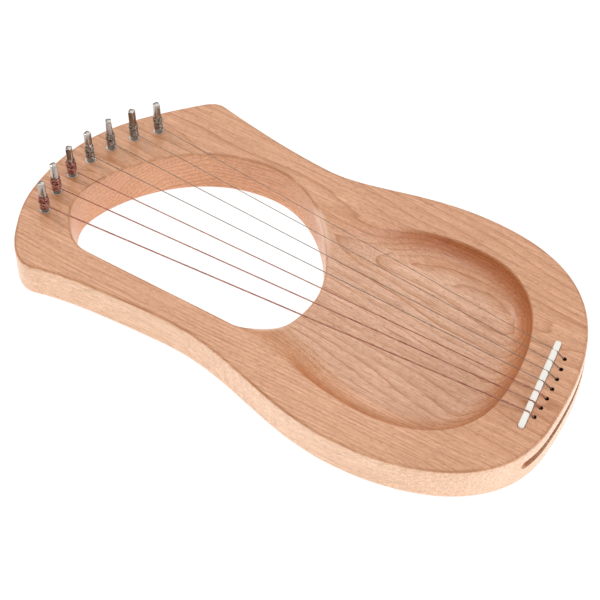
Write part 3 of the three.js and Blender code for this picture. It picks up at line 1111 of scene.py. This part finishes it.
def beech_rings(paint):
    """Staves and growth rings: grain place, late wood, its strength and the stave's own shade."""
    place_mm = paint.vector("SCALE", paint.object, (0, 0, 0))
    place_mm.node.inputs["Scale"].default_value = 1000.0
    x, y, z = paint.split(place_mm)
    stave = paint.math("FLOOR", paint.math("DIVIDE", paint.math("SUBTRACT", y, STAVE_START), STAVE_WIDTH))
    chance = paint.node("ShaderNodeTexWhiteNoise", noise_dimensions="1D")
    paint.feed(chance.inputs["W"], paint.math("ADD", stave, 0.37))
    first, second, third = paint.split(chance.outputs["Color"])

    shifted = paint.node("ShaderNodeCombineXYZ")
    paint.feed(shifted.inputs[0], paint.math("ADD", x, paint.math("MULTIPLY", stave, 431.0)))
    paint.feed(shifted.inputs[1], y)
    paint.feed(shifted.inputs[2], z)
    own = shifted.outputs[0]
    sway = paint.noise(paint.vector("MULTIPLY", own, (0.0055, 0.022, 0.022)), 1.5)
    ripple = paint.noise(paint.vector("MULTIPLY", own, (0.03, 0.11, 0.11)), 2.0)

    middle = paint.math("ADD", paint.math("MULTIPLY", stave, STAVE_WIDTH), STAVE_START + STAVE_WIDTH / 2)
    front = paint.math("LESS_THAN", stave, 0.5)
    tilt = paint.math("MULTIPLY_ADD", front, 1.1, paint.math("MULTIPLY_ADD", first, 0.8, -0.4))
    pith = paint.math("MULTIPLY_ADD", second, 40.0, 85.0)
    pith_y = paint.math("MULTIPLY_ADD", paint.math("SINE", tilt), pith, middle)
    pith_z = paint.math("SUBTRACT", THICKNESS / 2, paint.math("MULTIPLY", paint.math("COSINE", tilt), pith))
    across = paint.math("POWER", paint.math("SUBTRACT", y, pith_y), 2.0)
    up = paint.math("POWER", paint.math("SUBTRACT", z, pith_z), 2.0)
    reach = paint.math("SQRT", paint.math("ADD", across, up))
    reach = paint.math("ADD", reach, paint.math("MULTIPLY", sway, 15.0))
    reach = paint.math("ADD", reach, paint.math("MULTIPLY", ripple, 1.3))
    reach = paint.math("ADD", reach, paint.math("MULTIPLY", x, 0.02))
    years = paint.math("DIVIDE", reach, RING_WIDTH)
    turn = paint.math("FRACT", years)
    season = paint.node("ShaderNodeTexWhiteNoise", noise_dimensions="1D")
    paint.feed(season.inputs["W"], paint.math("FLOOR", years))
    strength = paint.math("MULTIPLY_ADD", season.outputs["Value"], 0.8, 0.55)
    line = paint.math("MULTIPLY", paint.smooth(turn, 0.8, 0.95), 0.62)
    band = paint.math("MULTIPLY", paint.smooth(turn, 0.4, 0.9), 0.38)
    late = paint.math("MULTIPLY", paint.math("ADD", line, band), paint.smooth(turn, 0.95, 1.0, 1.0, 0.0))
    return own, late, strength, third


def beech():
    """Flat-sawn steamed beech: glued staves, growth rings, fibres and flecks, through the block."""
    paint = Paint("beech")
    own, late, strength, third = beech_rings(paint)
    fibre = paint.noise(paint.vector("MULTIPLY", own, (0.03, 0.9, 0.9)), 5.0, 0.7)
    fine = paint.noise(paint.vector("MULTIPLY", own, (0.30, 2.7, 2.7)), 1.0)
    coarse = paint.noise(paint.vector("MULTIPLY", own, (0.09, 1.3, 1.3)), 1.0)
    cloud = paint.noise(paint.vector("MULTIPLY", own, (0.009, 0.035, 0.035)), 2.0)

    # Painted light: the outer sides are painted paler, with fainter rings and flecks.
    pale = paint.math("MULTIPLY", paint.attribute("painted_side_light"), 0.8)
    early = paint.mix(pale, WOOD_EARLY, WOOD_SIDE_LIGHT)
    # Painted sheen on the bowl's floor.
    early = paint.mix(paint.math("MULTIPLY", paint.attribute("painted_floor_sheen"), 0.55), early, WOOD_FLOOR_SHEEN)
    late = paint.math("MULTIPLY", late, strength, clamp=True)
    ring = paint.math("MULTIPLY", late, paint.math("MULTIPLY_ADD", pale, -0.9, 0.9))
    tone = paint.mix(ring, early, WOOD_LATE)
    large = paint.math("MULTIPLY", paint.smooth(coarse, 0.57, 0.72), 0.6)
    fleck = paint.math("MAXIMUM", paint.smooth(fine, 0.54, 0.68), large)
    fleck_share = paint.math("MULTIPLY", fleck, paint.math("MULTIPLY_ADD", pale, -0.1, 0.52))
    tone = paint.mix(fleck_share, tone, WOOD_FLECK)
    light = paint.math("ADD", paint.math("MULTIPLY", paint.math("SUBTRACT", fibre, 0.5), 0.95), 1.0)
    light = paint.math("ADD", light, paint.math("MULTIPLY", paint.math("SUBTRACT", cloud, 0.5), 0.22))
    light = paint.math("ADD", light, paint.math("MULTIPLY", paint.math("SUBTRACT", third, 0.5), 0.08))
    shade_of = paint.node("ShaderNodeCombineXYZ")
    for socket, power in zip(shade_of.inputs, (1.0, 1.5, 2.1)):
        paint.feed(socket, paint.math("POWER", light, power))
    tone = paint.mix(1.0, tone, shade_of.outputs[0], "MULTIPLY")
    # Painted shade darkens the bowl's wall.
    tone = paint.mix(paint.attribute("painted_wall_shade"), tone, WOOD_WALL_SHADE, "MULTIPLY")
    # Painted highlight on the ridge's crest.
    tone = paint.mix(paint.math("MULTIPLY", paint.attribute("painted_ridge_highlight"), 0.8), tone, WOOD_RIDGE_HIGHLIGHT)
    patch = paint.noise(paint.vector("MULTIPLY", own, (0.03, 0.06, 0.06)), 3.0)
    patchy = paint.smooth(patch, 0.38, 0.62, 0.15, 0.85)
    tone = paint.mix(paint.math("MULTIPLY", paint.attribute("edge"), patchy), tone, WOOD_EDGE)
    # Painted highlight on the pins' countersinks.
    tone = paint.mix(paint.attribute("painted_countersink_highlight"), tone, WOOD_COUNTERSINK_HIGHLIGHT)
    # Painted shade in the string holes and the kerf.
    tone = paint.mix(paint.attribute("painted_recess_shade"), tone, WOOD_RECESS_SHADE)

    paint.set(Base_Color=tone)
    shine = paint.math("ADD", paint.math("MULTIPLY", fibre, 0.2), 0.34)
    rough = paint.math("ADD", shine, paint.math("MULTIPLY", fleck, 0.1))
    paint.feed(paint.shader.inputs["Roughness"], rough)
    paint.feed(paint.shader.inputs["Specular IOR Level"], 0.5)
    paint.feed(paint.shader.inputs["Coat Weight"], 0.4)
    paint.feed(paint.shader.inputs["Coat Roughness"], 0.24)
    height = paint.math("SUBTRACT", paint.math("MULTIPLY", fibre, 0.5), paint.math("MULTIPLY", fleck, 0.6))
    paint.bump(height, 0.35, 0.0001)
    return paint.material


def bone():
    paint = Paint("bone")
    place_mm = paint.vector("MULTIPLY", paint.object, (1000, 1000, 1000))
    cloud = paint.noise(paint.vector("MULTIPLY", place_mm, (0.5, 0.12, 0.5)), 3.0)
    grain = paint.noise(paint.vector("MULTIPLY", place_mm, (6, 1.2, 6)), 2.0)
    tone = paint.mix(cloud, (1.0, 0.955, 0.87, 1), (0.97, 0.90, 0.78, 1))
    tone = paint.mix(paint.smooth(grain, 0.58, 0.72, 0.0, 0.25), tone, (0.62, 0.5, 0.35, 1))
    paint.set(Base_Color=tone, Roughness=paint.math("ADD", paint.math("MULTIPLY", grain, 0.2), 0.3))
    paint.feed(paint.shader.inputs["Specular IOR Level"], 0.9)
    paint.bump(grain, 0.2, 0.00005)
    return paint.material


def nickel():
    """Nickel-plated steel with turning marks round the pin and slight haze."""
    paint = Paint("nickel")
    place_mm = paint.vector("MULTIPLY", paint.object, (1000, 1000, 1000))
    rings = paint.noise(paint.vector("MULTIPLY", place_mm, (0.6, 0.6, 14)), 2.0)
    haze = paint.noise(paint.vector("MULTIPLY", place_mm, (1.1, 1.1, 0.8)), 3.0)
    tone = paint.mix(haze, (0.42, 0.39, 0.36, 1), (0.27, 0.245, 0.225, 1))
    rough = paint.math("ADD", paint.math("MULTIPLY", rings, 0.12), paint.math("MULTIPLY", haze, 0.14))
    paint.set(Base_Color=tone, Metallic=1.0, Roughness=paint.math("ADD", rough, 0.06))
    paint.bump(rings, 0.15, 0.00003)
    return paint.material


def wire(name, bright, dark, pitch, depth, patches=(0.15, 1.4, 1.4)):
    """String metal: fine turns of wrap wire, painted darker between the turns, with patches of painted
    highlight.
    """
    paint = Paint(name)
    travelled = paint.attribute("along")
    wave = paint.math("ABSOLUTE", paint.math("SINE", paint.math("MULTIPLY", travelled, math.pi / pitch)))
    place_mm = paint.vector("MULTIPLY", paint.object, (1000, 1000, 1000))
    # Painted highlight: the noise called haze picks the patches where the turns are painted in the lit
    # tone.
    haze = paint.smooth(paint.noise(paint.vector("MULTIPLY", place_mm, patches), 2.0), 0.35, 0.65)
    # Painted light: bright is the lit tone and dark the shaded tone between the turns.
    tone = paint.mix(paint.math("MULTIPLY", wave, haze), dark, bright)
    paint.set(Base_Color=tone, Metallic=1.0)
    rough = paint.math("ADD", paint.math("MULTIPLY", haze, 0.25), 0.22)
    paint.feed(paint.shader.inputs["Roughness"], rough)
    paint.bump(wave, depth, 0.00006)
    return paint.material


def brass():
    paint = Paint("ball_brass")
    place_mm = paint.vector("MULTIPLY", paint.object, (1000, 1000, 1000))
    haze = paint.noise(paint.vector("MULTIPLY", place_mm, (1.6, 1.6, 1.6)), 3.0)
    lines = paint.noise(paint.vector("MULTIPLY", place_mm, (0.8, 12, 0.8)), 1.0)
    tone = paint.mix(haze, (0.83, 0.60, 0.27, 1), (0.60, 0.38, 0.14, 1))
    rough = paint.math("ADD", paint.math("MULTIPLY", lines, 0.25), 0.18)
    paint.set(Base_Color=tone, Metallic=1.0, Roughness=rough)
    paint.bump(lines, 0.15, 0.00003)
    return paint.material


# ---------------------------------------------------------------- studio


def floor_material():
    paint = Paint("studio_floor")
    place_m = paint.vector("MULTIPLY", paint.object, (3, 3, 3))
    cloud = paint.noise(place_m, 2.0)
    tone = paint.mix(cloud, (0.93, 0.93, 0.93, 1), (0.95, 0.95, 0.95, 1))
    seen = paint.node("ShaderNodeLightPath").outputs["Is Camera Ray"]
    tone = paint.mix(seen, tone, (0.16, 0.16, 0.16, 1))
    paint.set(Base_Color=tone, Roughness=0.9)
    paint.feed(paint.shader.inputs["Emission Color"], (1, 1, 1, 1))
    paint.feed(paint.shader.inputs["Emission Strength"], paint.math("MULTIPLY_ADD", seen, 0.36, 0.55))
    return paint.material


def make_floor():
    half = 4000
    plan = [(-half, -half), (half, -half), (half, half), (-half, half)]
    floor = new_object("floor", [(x, y, FLOOR_HEIGHT) for x, y in plan], [(0, 1, 2, 3)])
    floor.data.materials.append(floor_material())


def direction(azimuth, elevation):
    """Unit vector from the object towards a place at that azimuth and elevation."""
    a = math.radians(azimuth)
    e = math.radians(elevation)
    return Vector((math.sin(a) * math.cos(e), -math.cos(a) * math.cos(e), math.sin(e)))


def make_light(name, azimuth, elevation, distance, size, watts, colour=(1, 1, 1)):
    data = bpy.data.lights.new(name, "AREA")
    data.shape = "RECTANGLE"
    data.size = size[0]
    data.size_y = size[1]
    data.energy = watts
    data.color = colour
    light = bpy.data.objects.new(name, data)
    bpy.context.scene.collection.objects.link(light)
    way = direction(azimuth, elevation)
    light.location = way * distance
    light.rotation_mode = "QUATERNION"
    light.rotation_quaternion = (-way).to_track_quat("-Z", "Y")


def make_world():
    world = bpy.data.worlds.new("studio")
    world.use_nodes = True
    background = next(n for n in world.node_tree.nodes if n.type == "BACKGROUND")
    background.inputs["Color"].default_value = (1, 0.985, 0.965, 1)
    background.inputs["Strength"].default_value = 0.42
    bpy.context.scene.world = world


def make_camera():
    data = bpy.data.cameras.new("camera")
    data.lens = 138
    data.sensor_width = 36
    camera = bpy.data.objects.new("camera", data)
    bpy.context.scene.collection.objects.link(camera)
    way = direction(32.49, 52.0)
    target = Vector((8.8, -21.2, THICKNESS)) * MM
    camera.location = target + way * 1.449
    camera.rotation_mode = "QUATERNION"
    camera.rotation_quaternion = (-way).to_track_quat("-Z", "Y")
    data.clip_start = 0.05
    data.clip_end = 50
    bpy.context.scene.camera = camera


# ---------------------------------------------------------------- assembly


def dress(piece, material, body, node):
    """Gives a piece its material, the body it moves with and the CAD node it stands for."""
    piece.data.materials.clear()
    piece.data.materials.append(material)
    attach(piece, body)
    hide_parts(node)


def main():
    bpy.context.scene.view_settings.view_transform = "Standard"
    make_camera()
    make_world()
    make_floor()
    make_light("overhead", 20, 82, 1.6, (0.9, 0.6), 5.4)
    make_light("sheen", 212, 52, 1.7, (0.9, 0.7), 3.6)
    make_light("window", 258, 50, 1.6, (0.3, 0.3), 3.6)
    make_light("front_fill", 18, 38, 1.7, (0.9, 0.6), 1.9)
    make_light("bridge_end", 100, 14, 1.5, (0.5, 0.3), 7, (0.78, 0.97, 1.22))

    steel = nickel()
    # The wire materials carry painted shade between their turns and patches of painted highlight.
    copper_wire = wire("copper_wire", (0.72, 0.38, 0.29, 1), (0.42, 0.17, 0.12, 1), 0.00028, 0.8)
    steel_wire = wire("steel_wire", (0.36, 0.285, 0.24, 1), (0.24, 0.185, 0.155, 1), 0.004, 0.05)
    turns = (0.7, 0.7, 0.9)
    copper_turns = wire("copper_turns", (0.85, 0.46, 0.37, 1), (0.26, 0.075, 0.05, 1), 0.0005, 0.6, turns)
    steel_turns = wire("steel_turns", (0.78, 0.66, 0.55, 1), (0.20, 0.15, 0.115, 1), 0.004, 0.05, turns)
    brass_metal = brass()
    dress(make_body(), beech(), "lyre", "harp_body")
    dress(make_bridge(), bone(), "lyre", "bridge_saddle")
    pin = pin_mesh()
    for index in range(len(STRING_DIAMETERS)):
        number = index + 1
        wound = index < WOUND_STRINGS
        metal = copper_wire if wound else steel_wire
        coiled = copper_turns if wound else steel_turns
        dress(make_pin(index, pin), steel, f"pin_{number}", f"tuning_pin_{number}")
        dress(make_winding(index), coiled, f"pin_{number}", f"string_winding_{number}")
        dress(make_string(index), metal, "lyre", f"string_{number}")
        dress(make_ball_end(index), brass_metal, "lyre", f"string_ball_end_{number}")


main()
